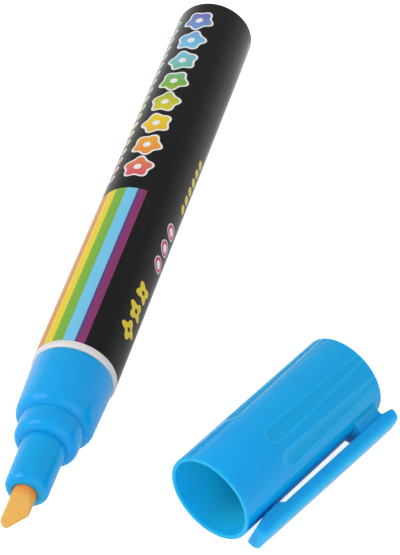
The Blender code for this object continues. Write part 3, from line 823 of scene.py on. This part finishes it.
class NodeSketch:
    """A node tree being drawn: each call adds one node and gives back its first output."""

    def __init__(self, tree):
        self.tree = tree

    def node(self, kind, **settings):
        made = self.tree.nodes.new(kind)
        for name, value in settings.items():
            setattr(made, name, value)
        return made

    def feed(self, socket, value):
        if isinstance(value, bpy.types.NodeSocket):
            self.tree.links.new(value, socket)
        elif socket.type == "RGBA":
            socket.default_value = (*value[:3], 1.0)
        else:
            socket.default_value = value

    def math(self, operation, *values):
        made = self.node("ShaderNodeMath", operation=operation)
        for socket, value in zip(made.inputs, values):
            self.feed(socket, value)
        return made.outputs[0]

    def object_place(self, location=ORIGIN, rotation=ORIGIN, scale=IN_MM):
        """Object coordinates in millimetres, moved and turned onto a piece."""
        places = self.node("ShaderNodeTexCoord")
        mapping = self.node("ShaderNodeMapping", vector_type="POINT")
        self.feed(mapping.inputs["Vector"], places.outputs["Object"])
        mapping.inputs["Location"].default_value = location
        mapping.inputs["Rotation"].default_value = rotation
        mapping.inputs["Scale"].default_value = scale
        return mapping.outputs["Vector"]

    def parts(self, vector):
        """A vector's X, Y and Z."""
        made = self.node("ShaderNodeSeparateXYZ")
        self.feed(made.inputs[0], vector)
        return made.outputs

    def noise(self, place, scale, detail=2.0, roughness=0.5):
        made = self.node("ShaderNodeTexNoise")
        self.feed(made.inputs["Vector"], place)
        self.feed(made.inputs["Scale"], scale)
        made.inputs["Detail"].default_value = detail
        made.inputs["Roughness"].default_value = roughness
        return made.outputs["Fac"]

    def span(self, value, low, high, new_low=0.0, new_high=1.0, smooth=False):
        """A value's span turned into another span, clamped."""
        made = self.node("ShaderNodeMapRange", interpolation_type="SMOOTHSTEP" if smooth else "LINEAR")
        for socket, item in zip(made.inputs, (value, low, high, new_low, new_high)):
            self.feed(socket, item)
        return made.outputs["Result"]

    def swing(self, noise):
        """A noise about zero, from -1 to 1."""
        return self.span(noise, *NOISE_RANGE, -1.0, 1.0)

    def mix(self, factor, first, second, blend="MIX"):
        made = self.node("ShaderNodeMix", data_type="RGBA", blend_type=blend)
        self.feed(made.inputs["Factor"], factor)
        self.feed(made.inputs["A"], first)
        self.feed(made.inputs["B"], second)
        return made.outputs["Result"]

    def ramp(self, factor, stops, interpolation="LINEAR"):
        made = self.node("ShaderNodeValToRGB")
        self.feed(made.inputs["Fac"], factor)
        ramp = made.color_ramp
        ramp.interpolation = interpolation
        for index, (position, tint) in enumerate(stops):
            stop = ramp.elements[index] if index < 2 else ramp.elements.new(position)
            stop.position = position
            stop.color = (*tint[:3], 1.0)
        return made.outputs["Color"]

    def bump(self, height, distance, strength=1.0):
        made = self.node("ShaderNodeBump")
        self.feed(made.inputs["Height"], height)
        made.inputs["Distance"].default_value = distance
        made.inputs["Strength"].default_value = strength
        return made.outputs["Normal"]

    def group(self, tree, **values):
        made = self.node("ShaderNodeGroup", node_tree=tree)
        for name, value in values.items():
            self.feed(made.inputs[name.replace("_", " ").capitalize()], value)
        return made.outputs


def node_group(name, inputs, outputs, draw):
    """A shader node group with named sockets, drawn once and shared by the finishes."""
    if name in bpy.data.node_groups:
        return bpy.data.node_groups[name]
    tree = bpy.data.node_groups.new(name, "ShaderNodeTree")
    for socket, kind in inputs:
        tree.interface.new_socket(socket, in_out="INPUT", socket_type=kind)
    for socket, kind in outputs:
        tree.interface.new_socket(socket, in_out="OUTPUT", socket_type=kind)
    sketch = NodeSketch(tree)
    entry = sketch.node("NodeGroupInput")
    leave = sketch.node("NodeGroupOutput")
    for socket, value in draw(sketch, entry.outputs).items():
        sketch.feed(leave.inputs[socket], value)
    return tree


FLOAT = "NodeSocketFloat"
COLOUR = "NodeSocketColor"


def draw_moulded(sketch, given):
    """Cloudy flow marks in the colour, a fine grain on the surface and an uneven gloss."""
    place = sketch.object_place()
    cloud = sketch.noise(place, sketch.math("DIVIDE", 1.0, given["Flow"]), detail=3.0)
    grain = sketch.noise(place, sketch.math("DIVIDE", 1.0, given["Grain"]), detail=2.0)
    cloudy = sketch.swing(cloud)
    shade = sketch.math("MULTIPLY_ADD", cloudy, given["Mottle"], 1.0)
    lift = sketch.math("MULTIPLY_ADD", sketch.swing(grain), GRAIN_TONE, shade)
    tone = sketch.node("ShaderNodeCombineColor")
    for socket in tone.inputs:
        sketch.feed(socket, lift)
    tinted = sketch.mix(1.0, given["Colour"], tone.outputs[0], "MULTIPLY")
    uneven = sketch.math("MULTIPLY_ADD", cloudy, CLOUD_GLOSS, given["Gloss"])
    rough = sketch.math("MULTIPLY_ADD", grain, GRAIN_GLOSS, uneven)
    return {"Colour": tinted, "Roughness": rough, "Height": grain}


def moulded_group():
    inputs = [("Colour", COLOUR)] + [(name, FLOAT) for name in ("Mottle", "Gloss", "Grain", "Flow")]
    outputs = [("Colour", COLOUR), ("Roughness", FLOAT), ("Height", FLOAT)]
    return node_group("moulded_plastic", inputs, outputs, draw_moulded)


def draw_rubbing(sketch, given):
    """Fine rubbing marks: thin streaks in two directions where the surface has been handled."""
    streaks = []
    across = STREAK_THINNESS * PER_MM
    for turned in STREAK_TURNS:
        place = sketch.object_place(rotation=turned, scale=(PER_MM, across, across))
        streak = sketch.noise(place, sketch.math("DIVIDE", 1.0, given["Length"]), detail=1.0)
        streaks.append(sketch.span(streak, *STREAK_LEVEL, smooth=True))
    handled = sketch.noise(sketch.object_place(), HANDLED_SCALE, detail=2.0)
    mask = sketch.math("MAXIMUM", *streaks)
    worn = sketch.span(handled, *HANDLED_LEVEL, smooth=True)
    return {"Mask": sketch.math("MULTIPLY", mask, worn)}


def rubbing_mask(sketch, finish):
    marks = node_group("rubbing_marks", [("Length", FLOAT)], [("Mask", FLOAT)], draw_rubbing)
    return sketch.group(marks, length=finish.scuff * PER_MM)["Mask"]


def draw_motif(sketch, given):
    """A row of petalled motifs along the barrel, each turned a little from the last."""
    from_start = sketch.math("SUBTRACT", given["Along"], given["Start"])
    cell = sketch.math("FLOOR", sketch.math("DIVIDE", from_start, given["Pitch"]))
    middle = sketch.math("MULTIPLY", sketch.math("ADD", cell, 0.5), given["Pitch"])
    forward = sketch.math("SUBTRACT", from_start, middle)
    sideways = sketch.math("SUBTRACT", given["Across"], given["Line"])
    squares = sketch.math("MULTIPLY_ADD", forward, forward, sketch.math("MULTIPLY", sideways, sideways))
    reach = sketch.math("SQRT", squares)
    angle = sketch.math("MULTIPLY_ADD", cell, MOTIF_TURN, sketch.math("ARCTAN2", sideways, forward))
    wave = sketch.math("COSINE", sketch.math("MULTIPLY", angle, given["Petals"]))
    swell = sketch.math("MULTIPLY_ADD", wave, given["Depth"], 1.0)
    inward = sketch.math("MULTIPLY_ADD", given["Radius"], swell, sketch.math("MULTIPLY", reach, -1.0))
    started = sketch.math("GREATER_THAN", from_start, 0.0)
    running = sketch.math("MULTIPLY", started, sketch.math("LESS_THAN", given["Along"], given["End"]))
    soft = given["Softness"]
    shape = sketch.math("MULTIPLY", sketch.span(inward, 0.0, soft, smooth=True), running)
    to_hole = sketch.math("SUBTRACT", reach, given["Hole"])
    fill = sketch.math("MULTIPLY", shape, sketch.span(to_hole, 0.0, soft, smooth=True))
    wider = sketch.math("ADD", inward, given["Outline"])
    around = sketch.math("MULTIPLY", sketch.span(wider, 0.0, soft, smooth=True), running)
    return {"Fill": fill, "Outline": around}


def motif_group():
    names = (
        "Along", "Across", "Start", "End", "Line", "Pitch", "Radius", "Petals", "Depth", "Hole", "Outline",
        "Softness",
    )
    outputs = [("Fill", FLOAT), ("Outline", FLOAT)]
    return node_group("printed_motif", [(name, FLOAT) for name in names], outputs, draw_motif)


def new_material(name):
    """An empty material with a Principled BSDF: the material, its sketch and its shader's inputs."""
    material = bpy.data.materials.new(name)
    material.use_nodes = True
    sketch = NodeSketch(material.node_tree)
    return material, sketch, material.node_tree.nodes["Principled BSDF"].inputs


def moulded_finish(name, finish, base, mottle, gloss, specular, subsurface=0.0, rub=0.0, pale=None):
    """Moulded plastic in one colour, with painted light in a paler colour where the mesh marks it."""
    if name in bpy.data.materials:
        return bpy.data.materials[name]
    material, sketch, shader = new_material(name)
    plastic = sketch.group(
        moulded_group(), colour=base, mottle=mottle, gloss=gloss, grain=finish.grain * PER_MM,
        flow=finish.flow * PER_MM,
    )
    rubbed = rubbing_mask(sketch, finish)
    paler = [tone + RUBBED_PALENESS * (1.0 - tone) for tone in base]
    tint = sketch.mix(sketch.math("MULTIPLY", rubbed, rub), plastic["Colour"], paler)
    # Painted light: highlights, reflections and light over shade, in the paler colour
    if pale is not None:
        marked = sketch.node("ShaderNodeAttribute", attribute_name=PAINTED_LIGHT).outputs["Fac"]
        tint = sketch.mix(marked, tint, pale)
    sketch.feed(shader["Base Color"], tint)
    rough = sketch.math("MULTIPLY_ADD", rubbed, RUBBED_PLASTIC, plastic["Roughness"])
    sketch.feed(shader["Roughness"], rough)
    sketch.feed(shader["Normal"], sketch.bump(plastic["Height"], GRAIN_RELIEF))
    shader["Specular IOR Level"].default_value = specular
    shader["Subsurface Weight"].default_value = subsurface
    shader["Subsurface Radius"].default_value = PLASTIC_SCATTER
    shader["Subsurface Scale"].default_value = finish.depth
    return material


def blue_plastic(finish):
    return moulded_finish(
        "blue_moulding", finish, finish.blue, mottle=0.02, gloss=0.16, specular=0.22, subsurface=0.8,
        rub=0.04, pale=finish.painted_light_blue,
    )


def milky_plastic(finish):
    return moulded_finish(
        "milky_moulding", finish, finish.milky, mottle=0.03, gloss=0.38, specular=0.4, subsurface=0.3,
    )


def white_plastic(finish, barrel):
    return moulded_finish(
        "white_moulding", finish, barrel.white, mottle=0.02, gloss=0.32, specular=0.4, subsurface=0.1,
        rub=0.2,
    )


def steel_finish(finish):
    """Bright steel with fine drawing marks and a little tarnish."""
    if "bright_steel" in bpy.data.materials:
        return bpy.data.materials["bright_steel"]
    material, sketch, shader = new_material("bright_steel")
    place = sketch.object_place()
    cloud = sketch.noise(place, TARNISH_SCALE, detail=3.0)
    fine = sketch.noise(place, DRAWN_SCALE, detail=2.0)
    rubbed = rubbing_mask(sketch, finish)
    dull = [TARNISH_TONE * tone for tone in finish.steel]
    tarnish = sketch.span(cloud, *TARNISH_LEVEL)
    sketch.feed(shader["Base Color"], sketch.mix(tarnish, finish.steel, dull))
    worn = sketch.math("MULTIPLY_ADD", rubbed, RUBBED_STEEL, STEEL_ROUGHNESS)
    sketch.feed(shader["Roughness"], sketch.math("MULTIPLY_ADD", fine, DRAWN_ROUGHNESS, worn))
    sketch.feed(shader["Normal"], sketch.bump(fine, DRAWN_RELIEF))
    shader["Metallic"].default_value = 1.0
    return material


def fibre_finish(nib):
    """Bonded fibres along the nib, paler at the tip and deeper where they leave the nozzle."""
    material, sketch, shader = new_material("nib_fibre")
    along = sketch.object_place(scale=(STRAND_STRETCH * PER_MM, PER_MM, PER_MM))
    strands = sketch.noise(along, STRAND_SCALE, detail=3.0, roughness=0.6)
    pores = sketch.noise(sketch.object_place(), PORE_SCALE, detail=2.0)
    place = sketch.parts(sketch.object_place(location=(-nose_low.x * PER_MM, 0.0, 0.0)))
    soaked = sketch.span(place["X"], -DRY_LENGTH, 0.0, smooth=True)
    blotch = sketch.math("MULTIPLY_ADD", sketch.swing(pores), PORE_BLOTCH, soaked)
    ink = sketch.mix(sketch.span(blotch, 0.0, 1.0), nib.light, nib.deep)
    dark = [STRAND_TONE * tone for tone in nib.deep]
    streaks = sketch.span(strands, *STRAND_LEVEL, 0.0, STRAND_DARKNESS)
    sketch.feed(shader["Base Color"], sketch.mix(streaks, ink, dark))
    sketch.feed(shader["Roughness"], sketch.span(strands, *NOISE_RANGE, *FELT_ROUGHNESS))
    relief = sketch.math("MULTIPLY_ADD", pores, PORE_DEPTH, strands)
    sketch.feed(shader["Normal"], sketch.bump(relief, FELT_RELIEF))
    shader["Subsurface Weight"].default_value = FELT_SCATTER_WEIGHT
    shader["Subsurface Radius"].default_value = FELT_SCATTER
    shader["Subsurface Scale"].default_value = FELT_SCATTER_DEPTH
    return material


def stripe_panel(sketch, look, along, around):
    """Colour of the stripes round the barrel, and the mask of their panel."""
    edges = (
        (STRIPES_FIRST, look.purple),
        (-5.0, look.indigo),
        (-1.6, look.sky),
        (14.9, look.green),
        (30.0, look.yellow),
        (46.0, look.salmon),
    )
    reach = STRIPES_LAST - STRIPES_FIRST
    stops = [((edge - STRIPES_FIRST) / reach, tint) for edge, tint in edges]
    stripes = sketch.ramp(sketch.span(around, STRIPES_FIRST, STRIPES_LAST), stops, "CONSTANT")
    begun = sketch.math("GREATER_THAN", around, STRIPES_FIRST)
    beside = sketch.math("MULTIPLY", begun, sketch.math("LESS_THAN", around, STRIPES_LAST))
    ahead = sketch.span(along, look.panel * PER_MM, (look.panel + look.softness) * PER_MM, 1.0, 0.0)
    return stripes, sketch.math("MULTIPLY", beside, ahead)


def printed_rows(look, rainbow):
    """Rows of motifs on the film: the ink of each, and its measures in millimetres."""
    dot = dict(petals=1.0, depth=0.0, hole=0.0, outline=0.0)
    flower = dict(
        pitch=look.flower_pitch * PER_MM, radius=look.flower * PER_MM, petals=5.0, depth=0.14, hole=0.75,
        outline=0.45,
    )
    clover = dict(pitch=5.0, radius=1.90, petals=4.0, depth=0.25, hole=0.45, outline=0.0)
    bead = dict(dot, pitch=2.8, radius=0.70, outline=0.25)
    ring = dict(dot, pitch=4.67, radius=1.60, hole=0.85, outline=0.20)
    return (
        (rainbow, dict(flower, start=45.8, end=100.2, line=1.75)),
        (rainbow, dict(bead, start=46.4, end=99.6, line=7.60)),
        (look.yellow, dict(clover, start=7.5, end=22.5, line=-9.4)),
        (look.pink, dict(ring, start=27.0, end=41.0, line=-10.6)),
        (look.yellow, dict(dot, pitch=2.7, radius=1.00, start=45.3, end=61.5, line=-11.6)),
    )


def film_finish(look, finish):
    """Glossy black film with its stripe panel, a row of rainbow flowers and small marks beside it."""
    material, sketch, shader = new_material("printed_film")
    shift = (-sleeve_low.x * PER_MM, 0.0, -axis_height * PER_MM)
    place = sketch.parts(sketch.object_place(location=shift))
    along = place["X"]
    radians = sketch.math("ARCTAN2", place["Y"], place["Z"])
    around = sketch.math("DEGREES", radians)
    across = sketch.math("MULTIPLY", radians, sleeve_radius * PER_MM)
    soft = look.softness * PER_MM
    colour_now, panel = stripe_panel(sketch, look, along, around)
    colour_now = sketch.mix(panel, look.black, colour_now)

    rainbow = sketch.ramp(sketch.span(along, *RAINBOW_SPAN), [
        (0.0, RAINBOW_RED),
        (0.18, RAINBOW_ORANGE),
        (0.36, look.yellow),
        (0.55, look.green),
        (0.76, look.sky),
        (1.0, RAINBOW_VIOLET),
    ])
    for ink, row in printed_rows(look, rainbow):
        motif = sketch.group(motif_group(), along=along, across=across, softness=soft, **row)
        if row["outline"] > 0.0:
            colour_now = sketch.mix(motif["Outline"], colour_now, look.outline)
        colour_now = sketch.mix(motif["Fill"], colour_now, ink)

    rubbed = rubbing_mask(sketch, finish)
    faded = sketch.math("MULTIPLY", rubbed, RUBBED_PRINT)
    sketch.feed(shader["Base Color"], sketch.mix(faded, colour_now, look.outline))
    dusty = sketch.noise(sketch.object_place(), DUST_SCALE, detail=4.0)
    sheen = sketch.span(dusty, *NOISE_RANGE, *FILM_ROUGHNESS)
    sketch.feed(shader["Roughness"], sketch.math("MULTIPLY_ADD", rubbed, RUBBED_FILM, sheen))
    shader["Specular IOR Level"].default_value = FILM_SPECULAR
    drawn = sketch.object_place(scale=(RIPPLE_STRETCH * PER_MM, PER_MM, PER_MM))
    ripple = sketch.noise(drawn, RIPPLE_SCALE, detail=2.0)
    sketch.feed(shader["Normal"], sketch.bump(ripple, RIPPLE_RELIEF))
    return material


# Operators


class MARKER_OT_barrel(bpy.types.Operator):
    """Turn the white barrel and the printed film round it"""

    bl_idname = "marker.barrel"
    bl_label = "Barrel and film"
    bl_options = {"REGISTER", "UNDO"}

    def execute(self, context):
        marker = context.scene.liquid_marker
        tube = barrel_shape(marker.barrel)
        white = white_plastic(marker.finish, marker.barrel)
        new_piece("white_barrel", tube, marker_place, "barrel", "marker", white)
        sleeve = film_shape(marker.barrel)
        film = film_finish(marker.print, marker.finish)
        new_piece("printed_film", sleeve, marker_place, "printed_sleeve", "marker", film)
        return {"FINISHED"}


class MARKER_OT_nose(bpy.types.Operator):
    """Turn the blue stepped nose"""

    bl_idname = "marker.nose"
    bl_label = "Nose"
    bl_options = {"REGISTER", "UNDO"}

    def execute(self, context):
        marker = context.scene.liquid_marker
        blue = blue_plastic(marker.finish)
        shape = nose_shape(marker.nose, marker.barrel)
        new_piece("stepped_nose", shape, marker_place, "front_section", "marker", blue)
        return {"FINISHED"}


class MARKER_OT_nib(bpy.types.Operator):
    """Cut the fibre nib"""

    bl_idname = "marker.nib"
    bl_label = "Nib"
    bl_options = {"REGISTER", "UNDO"}

    def execute(self, context):
        marker = context.scene.liquid_marker
        shape = nib_shape(marker.nib)
        fibre = fibre_finish(marker.nib)
        new_piece("chisel_nib", shape, marker_place, "nib", "nib", fibre)
        return {"FINISHED"}


class MARKER_OT_inside(bpy.types.Operator):
    """Finish the valve and the mixing ball, and wind the spring that the nib presses together"""

    bl_idname = "marker.inside"
    bl_label = "Valve and ball"
    bl_options = {"REGISTER", "UNDO"}

    def execute(self, context):
        marker = context.scene.liquid_marker
        for node in ("valve_body", "valve_stem", "valve_cage"):
            frame["nodes"][node].material_slots[0].material = milky_plastic(marker.finish)
        steel = steel_finish(marker.finish)
        frame["nodes"]["mixing_ball"].material_slots[0].material = steel
        shape = spring_shape(marker.valve)
        spring = new_piece("coil_spring", shape, marker_place, "valve_spring", "marker", steel)
        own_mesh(spring)
        return {"FINISHED"}


class MARKER_OT_cap(bpy.types.Operator):
    """Turn and flute the cap, and turn the seal in it"""

    bl_idname = "marker.cap"
    bl_label = "Cap and seal"
    bl_options = {"REGISTER", "UNDO"}

    def execute(self, context):
        marker = context.scene.liquid_marker
        place = cap_end_place @ Matrix.Translation((0.0, 0.0, -marker.cap.length))
        blue = blue_plastic(marker.finish)
        milky = milky_plastic(marker.finish)
        sleeve = seal_shape(marker.cap)
        new_piece("fluted_cap", cap_shape(marker.cap), place, "cap_shell", "cap", blue)
        new_piece("seal_sleeve", sleeve, place, "cap_inner_seal", "cap", milky)
        return {"FINISHED"}


class MARKER_OT_clip(bpy.types.Operator):
    """Model the clip bar with its foot and web"""

    bl_idname = "marker.clip"
    bl_label = "Clip"
    bl_options = {"REGISTER", "UNDO"}

    def execute(self, context):
        marker = context.scene.liquid_marker
        place = cap_end_place @ Matrix.Translation((0.0, 0.0, -marker.cap.length))
        shape = clip_shape(marker.clip, marker.cap)
        new_piece("clip_bar", shape, place, "clip", "clip", blue_plastic(marker.finish))
        return {"FINISHED"}


# Stage

CAMERA_PLACE = (-0.36345, -0.10344, 0.33630)
CAMERA_TARGET = (-0.01342, -0.01348, 0.0)
KEY_PLACE = (-0.35, 0.80, 0.75)
FILL_PLACE = (-0.55, -0.60, 0.45)
FLOOR_SHADE_SCALE = 0.02
FLOOR_SHADE_TONE = 0.99
FLOOR_ROUGHNESS = 0.9
FLOOR_SPECULAR = 0.1
HORIZON = 0.05     # a direction's Z up to which the surroundings are white
OVERHEAD = 0.40    # and from which they have the ceiling's brightness


def floor_finish(stage):
    """White floor that keeps shadows; to the camera it glows up to white, and less in reflections."""
    material, sketch, shader = new_material("white_floor")
    shade = sketch.noise(sketch.object_place(), FLOOR_SHADE_SCALE, detail=1.0)
    darker = [FLOOR_SHADE_TONE * tone for tone in stage.floor_white]
    sketch.feed(shader["Base Color"], sketch.mix(shade, stage.floor_white, darker))
    shader["Roughness"].default_value = FLOOR_ROUGHNESS
    shader["Specular IOR Level"].default_value = FLOOR_SPECULAR
    shader["Emission Color"].default_value = WHITE
    seen = sketch.node("ShaderNodeLightPath").outputs
    mirrored = sketch.math("MAXIMUM", seen["Is Glossy Ray"], seen["Is Transmission Ray"])
    direct = sketch.math("MULTIPLY", seen["Is Camera Ray"], stage.floor_glow)
    glow = sketch.math("MULTIPLY_ADD", mirrored, stage.mirrored_glow, direct)
    sketch.feed(shader["Emission Strength"], glow)
    return material


def white_world(stage):
    """Pale surroundings: white at the horizon to camera and reflections, weaker overhead and as light."""
    world = bpy.data.worlds.new("white_surroundings")
    world.use_nodes = True
    sketch = NodeSketch(world.node_tree)
    background = world.node_tree.nodes["Background"].inputs
    background["Color"].default_value = WHITE
    seen = sketch.node("ShaderNodeLightPath").outputs
    direct = sketch.math("MAXIMUM", seen["Is Camera Ray"], seen["Is Glossy Ray"])
    any_ray = sketch.math("MAXIMUM", direct, seen["Is Transmission Ray"])
    direction = sketch.node("ShaderNodeTexCoord").outputs["Generated"]
    height = sketch.parts(direction)["Z"]
    looks = sketch.span(height, HORIZON, OVERHEAD, 1.0, stage.ceiling, smooth=True)
    sketch.feed(background["Strength"], sketch.span(any_ray, 0.0, 1.0, stage.world, looks))
    return world


def aimed_object(name, data, place):
    """Put a lamp or a camera at a place, looking at the middle of the picture."""
    holder = bpy.data.objects.new(name, data)
    holder.location = place
    line = Vector(CAMERA_TARGET) - Vector(place)
    holder.rotation_euler = line.to_track_quat("-Z", "Y").to_euler()
    bpy.context.scene.collection.objects.link(holder)
    return holder


def area_lamp(name, place, watts, size):
    lamp = bpy.data.lights.new(name, "AREA")
    lamp.shape = "DISK"
    lamp.size = size
    lamp.energy = watts
    aimed_object(name, lamp, place)


class MARKER_OT_stage(bpy.types.Operator):
    """Set up the floor, the light and the camera"""

    bl_idname = "marker.stage"
    bl_label = "Stage"
    bl_options = {"REGISTER", "UNDO"}

    def execute(self, context):
        stage = context.scene.liquid_marker.stage
        scene = context.scene
        shape = bmesh.new()
        bmesh.ops.create_grid(shape, x_segments=1, y_segments=1, size=stage.floor / 2)
        mesh = bpy.data.meshes.new("floor")
        shape.to_mesh(mesh)
        shape.free()
        mesh.materials.append(floor_finish(stage))
        floor = bpy.data.objects.new("floor", mesh)
        scene.collection.objects.link(floor)
        scene.world = white_world(stage)
        area_lamp("key", KEY_PLACE, stage.key_power, stage.lamp_size)
        area_lamp("fill", FILL_PLACE, stage.fill_power, stage.lamp_size)
        camera = bpy.data.cameras.new("camera")
        camera.lens = stage.focal_length
        scene.camera = aimed_object("camera", camera, CAMERA_PLACE)
        scene.view_settings.view_transform = "Standard"
        return {"FINISHED"}


OPERATORS = (
    MARKER_OT_barrel,
    MARKER_OT_nose,
    MARKER_OT_nib,
    MARKER_OT_inside,
    MARKER_OT_cap,
    MARKER_OT_clip,
    MARKER_OT_stage,
)


class MARKER_PT_panel(bpy.types.Panel):
    """Lists the marker's operators"""

    bl_idname = "MARKER_PT_panel"
    bl_label = "Liquid marker"
    bl_space_type = "VIEW_3D"
    bl_region_type = "UI"
    bl_category = "Marker"

    def draw(self, context):
        for operator in OPERATORS:
            self.layout.operator(operator.bl_idname)


CLASSES = (
    BarrelSettings,
    PrintSettings,
    NoseSettings,
    NibSettings,
    ValveSettings,
    CapSettings,
    ClipSettings,
    FinishSettings,
    StageSettings,
    MarkerSettings,
    *OPERATORS,
    MARKER_PT_panel,
)


def register():
    for item in CLASSES:
        bpy.utils.register_class(item)
    bpy.types.Scene.liquid_marker = settings_of("Liquid marker", MarkerSettings)


def unregister():
    del bpy.types.Scene.liquid_marker
    for item in reversed(CLASSES):
        bpy.utils.unregister_class(item)


def main():
    register()
    bpy.ops.marker.barrel()
    bpy.ops.marker.nose()
    bpy.ops.marker.nib()
    bpy.ops.marker.inside()
    bpy.ops.marker.cap()
    bpy.ops.marker.clip()
    bpy.ops.marker.stage()


if __name__ == "__main__":
    main()
